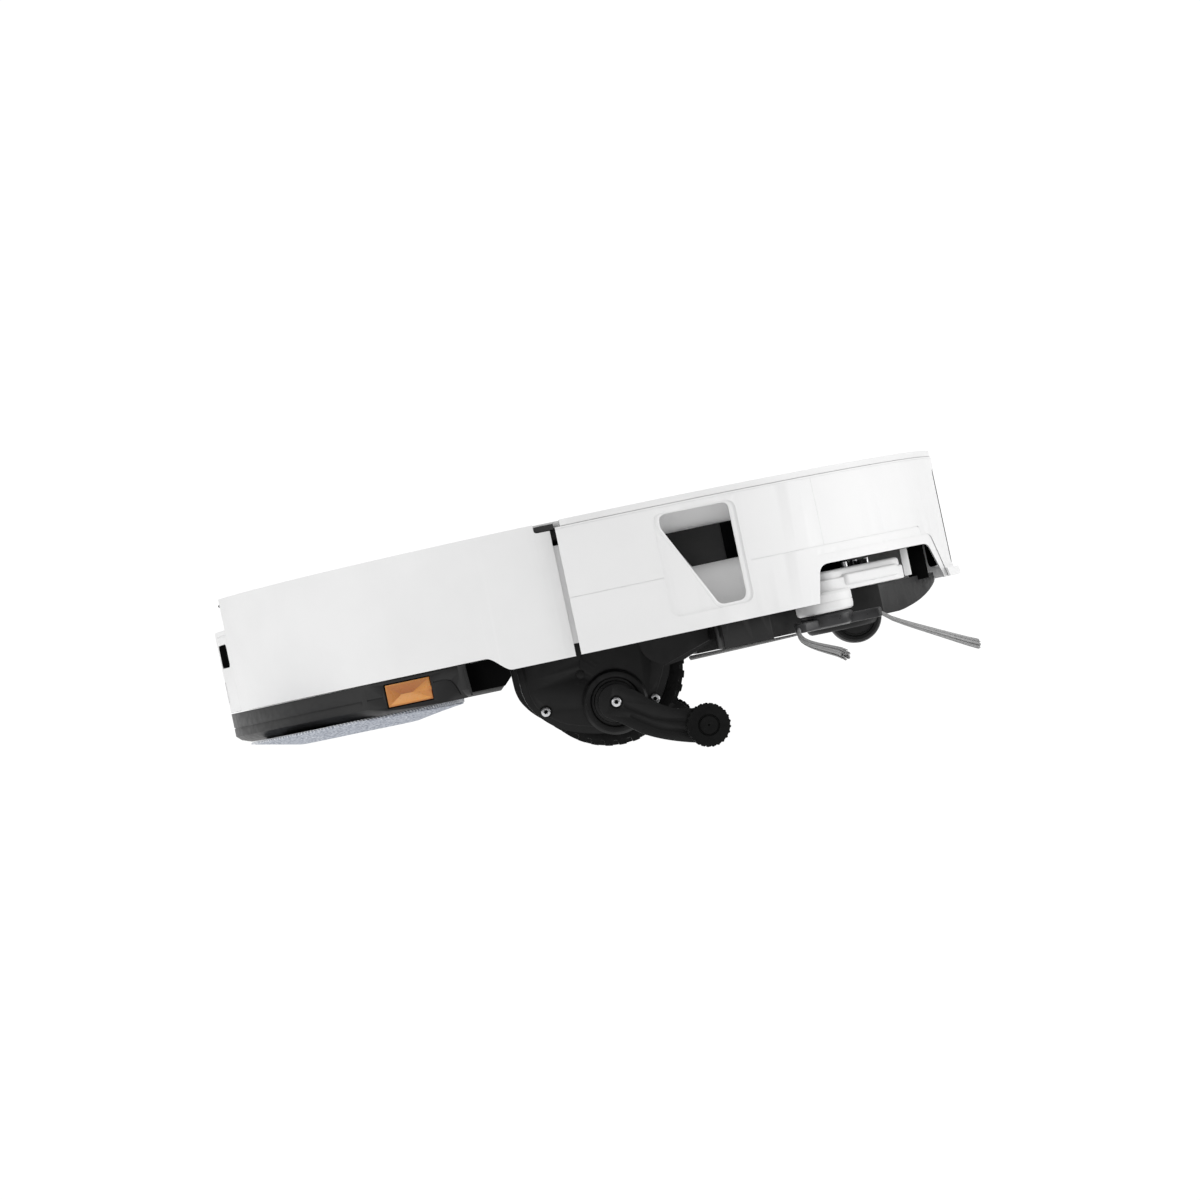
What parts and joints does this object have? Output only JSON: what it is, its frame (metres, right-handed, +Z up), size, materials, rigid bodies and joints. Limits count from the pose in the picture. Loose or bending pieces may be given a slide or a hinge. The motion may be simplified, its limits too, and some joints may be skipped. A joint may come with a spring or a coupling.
{
  "type": "robot vacuum",
  "caption": "Round robot vacuum and mop in its climbing stance: nose up, swing-down roller legs, spinning mop pads, side brush, retracting turret and sprung bumper.",
  "frame": {"origin": "middle of the footprint of the whole robot, on the floor it stands on", "axes": "+X forward, the way the robot drives, with the body pitched 12 degrees nose up about Y; +Y to the robot's left; +Z up from the floor"},
  "size_m": [0.3542, 0.373, 0.1379],
  "materials": {
    "black_base": "fine matte",
    "black_gloss": "gloss",
    "board_green": "satin",
    "bristle": "satin",
    "filter_paper": "pleated paper",
    "mop_fibre": "microfibre pile",
    "orange_insert": "satin",
    "steel": "satin",
    "tank_clear": "smoky gloss",
    "tyre_rubber": "matte",
    "white_shell": "satin"
  },
  "bodies": {
    "chassis": {"chassis_base": "black_base", "rear_shell": "white_shell", "rear_panel": "white_shell", "rear_ir_window": "black_gloss", "rear_lip": "black_base", "charging_contact_right": "steel", "charging_contact_left": "steel", "side_insert": "orange_insert", "top_deck": "black_base", "side_sensor_bay": "white_shell", "side_sensor_window": "black_gloss", "battery_pack": "black_base", "water_tank": "tank_clear", "main_board": "board_green", "brush_motor": "steel", "fan_housing": "black_base", "brush_guard": "black_base"},
    "bumper": {"bumper_shell": "white_shell", "front_window": "black_gloss"},
    "cover": {"top_cover": "white_shell"},
    "power_button": {"power_button": "white_shell"},
    "home_button": {"home_button": "white_shell"},
    "turret": {"turret_cap": "white_shell"},
    "lidar": {"lidar_rotor": "black_gloss"},
    "bin": {"dust_bin": "tank_clear", "bin_filter": "filter_paper"},
    "fan_rotor": {"impeller": "white_shell"},
    "caster_yoke": {"caster_yoke": "black_base"},
    "caster_wheel": {"caster_wheel": "tyre_rubber"},
    "brush_arm": {"brush_arm": "white_shell"},
    "side_brush": {"brush_hub": "black_gloss", "brush_tuft_1": "bristle", "brush_tuft_2": "bristle", "brush_tuft_3": "bristle"},
    "main_brush_rear": {"main_brush_rear": "tyre_rubber"},
    "main_brush_front": {"main_brush_front": "tyre_rubber"},
    "mop_arm": {"mop_arm": "black_base"},
    "mop_right": {"mop_disc_right": "black_base", "mop_pad_right": "mop_fibre"},
    "mop_left": {"mop_disc_left": "black_base", "mop_pad_left": "mop_fibre"},
    "module_right": {"module_housing_right": "black_base", "housing_screw_right_1": "steel", "housing_screw_right_2": "steel"},
    "wheel_right": {"wheel_hub_right": "black_base", "tyre_right": "tyre_rubber"},
    "leg_right": {"leg_arm_right": "black_base", "leg_screw_right": "steel"},
    "roller_right": {"leg_roller_right": "tyre_rubber"},
    "module_left": {"module_housing_left": "black_base", "housing_screw_left_1": "steel", "housing_screw_left_2": "steel"},
    "wheel_left": {"wheel_hub_left": "black_base", "tyre_left": "tyre_rubber"},
    "leg_left": {"leg_arm_left": "black_base", "leg_screw_left": "steel"},
    "roller_left": {"leg_roller_left": "tyre_rubber"}
  },
  "joints": [
    {"name": "bumper_press", "type": "slide", "parent": "chassis", "child": "bumper", "axis": [-0.9781, 0, -0.2079], "range_m": [0, 0.002], "stiffness_N_per_m": 1500, "springref_m": -0.001},
    {"name": "cover_lift", "type": "slide", "parent": "chassis", "child": "cover", "axis": [-0.2079, 0, 0.9781], "range_m": [0, 0.06]},
    {"name": "bin_lift", "type": "slide", "parent": "chassis", "child": "bin", "axis": [-0.2079, 0, 0.9781], "range_m": [0, 0.054]},
    {"name": "power_press", "type": "slide", "parent": "cover", "child": "power_button", "axis": [0.2079, 0, -0.9781], "range_m": [0, 0.001], "stiffness_N_per_m": 400, "springref_m": -0.0005},
    {"name": "home_press", "type": "slide", "parent": "cover", "child": "home_button", "axis": [0.2079, 0, -0.9781], "range_m": [0, 0.001], "stiffness_N_per_m": 400, "springref_m": -0.0005},
    {"name": "turret_lift", "type": "slide", "parent": "chassis", "child": "turret", "axis": [-0.2079, 0, 0.9781], "range_m": [0, 0.022]},
    {"name": "lidar_spin", "type": "hinge", "parent": "turret", "child": "lidar", "pos_m": [-0.08994, 0.01152, 0.07361], "axis": [-0.2079, 0, 0.9781], "continuous": true},
    {"name": "fan_spin", "type": "hinge", "parent": "chassis", "child": "fan_rotor", "pos_m": [0.10214, 0.05652, 0.08377], "axis": [-0.2079, 0, 0.9781], "continuous": true},
    {"name": "suspension_right", "type": "slide", "parent": "chassis", "child": "module_right", "axis": [-0.2079, 0, 0.9781], "range_m": [0, 0.02]},
    {"name": "drive_wheel_right", "type": "hinge", "parent": "module_right", "child": "wheel_right", "pos_m": [0.00526, -0.10148, 0.03455], "axis": [0, 1, 0], "continuous": true},
    {"name": "leg_swing_right", "type": "hinge", "parent": "module_right", "child": "leg_right", "pos_m": [0.00838, -0.12848, 0.01988], "axis": [0, -1, 0], "range_deg": [0, 38]},
    {"name": "leg_roller_right", "type": "hinge", "parent": "leg_right", "child": "roller_right", "pos_m": [0.04874, -0.13788, 0.00985], "axis": [0, 1, 0], "continuous": true},
    {"name": "suspension_left", "type": "slide", "parent": "chassis", "child": "module_left", "axis": [-0.2079, 0, 0.9781], "range_m": [0, 0.02]},
    {"name": "drive_wheel_left", "type": "hinge", "parent": "module_left", "child": "wheel_left", "pos_m": [0.00526, 0.12452, 0.03455], "axis": [0, 1, 0], "continuous": true},
    {"name": "leg_swing_left", "type": "hinge", "parent": "module_left", "child": "leg_left", "pos_m": [0.00838, 0.15152, 0.01988], "axis": [0, -1, 0], "range_deg": [0, 38]},
    {"name": "leg_roller_left", "type": "hinge", "parent": "leg_left", "child": "roller_left", "pos_m": [0.04874, 0.16092, 0.00985], "axis": [0, 1, 0], "continuous": true},
    {"name": "caster_swivel", "type": "hinge", "parent": "chassis", "child": "caster_yoke", "pos_m": [0.12133, 0.01152, 0.05841], "axis": [-0.2079, 0, 0.9781], "continuous": true},
    {"name": "caster_roll", "type": "hinge", "parent": "caster_yoke", "child": "caster_wheel", "pos_m": [0.1273, 0.01152, 0.05968], "axis": [0, 1, 0], "continuous": true},
    {"name": "brush_swing", "type": "hinge", "parent": "chassis", "child": "brush_arm", "pos_m": [0.13279, -0.07448, 0.07904], "axis": [-0.2079, 0, 0.9781], "range_deg": [0, 20]},
    {"name": "side_brush_spin", "type": "hinge", "parent": "brush_arm", "child": "side_brush", "pos_m": [0.10384, -0.11448, 0.05653], "axis": [-0.2079, 0, 0.9781], "continuous": true, "deforming": ["brush_tuft_1", "brush_tuft_2", "brush_tuft_3"]},
    {"name": "main_brush_rear_spin", "type": "hinge", "parent": "chassis", "child": "main_brush_rear", "pos_m": [0.06287, 0.01152, 0.05212], "axis": [0, 1, 0], "continuous": true},
    {"name": "main_brush_front_spin", "type": "hinge", "parent": "chassis", "child": "main_brush_front", "pos_m": [0.08634, 0.01152, 0.05711], "axis": [0, 1, 0], "continuous": true},
    {"name": "mop_swing", "type": "hinge", "parent": "chassis", "child": "mop_arm", "pos_m": [-0.05251, -0.05548, 0.02738], "axis": [-0.2079, 0, 0.9781], "range_deg": [-29.4, 0]},
    {"name": "mop_spin_right", "type": "hinge", "parent": "mop_arm", "child": "mop_right", "pos_m": [-0.10722, -0.07048, 0.00962], "axis": [-0.2079, 0, 0.9781], "continuous": true},
    {"name": "mop_spin_left", "type": "hinge", "parent": "chassis", "child": "mop_left", "pos_m": [-0.10722, 0.06352, 0.00962], "axis": [-0.2079, 0, 0.9781], "continuous": true}
  ],
  "couplings": [
    {"joint": "bin_lift", "follows": "cover_lift", "ratio": 0.9},
    {"joint": "leg_swing_left", "follows": "leg_swing_right", "ratio": 1},
    {"joint": "main_brush_front_spin", "follows": "main_brush_rear_spin", "ratio": -1},
    {"joint": "mop_spin_left", "follows": "mop_spin_right", "ratio": -1}
  ]
}
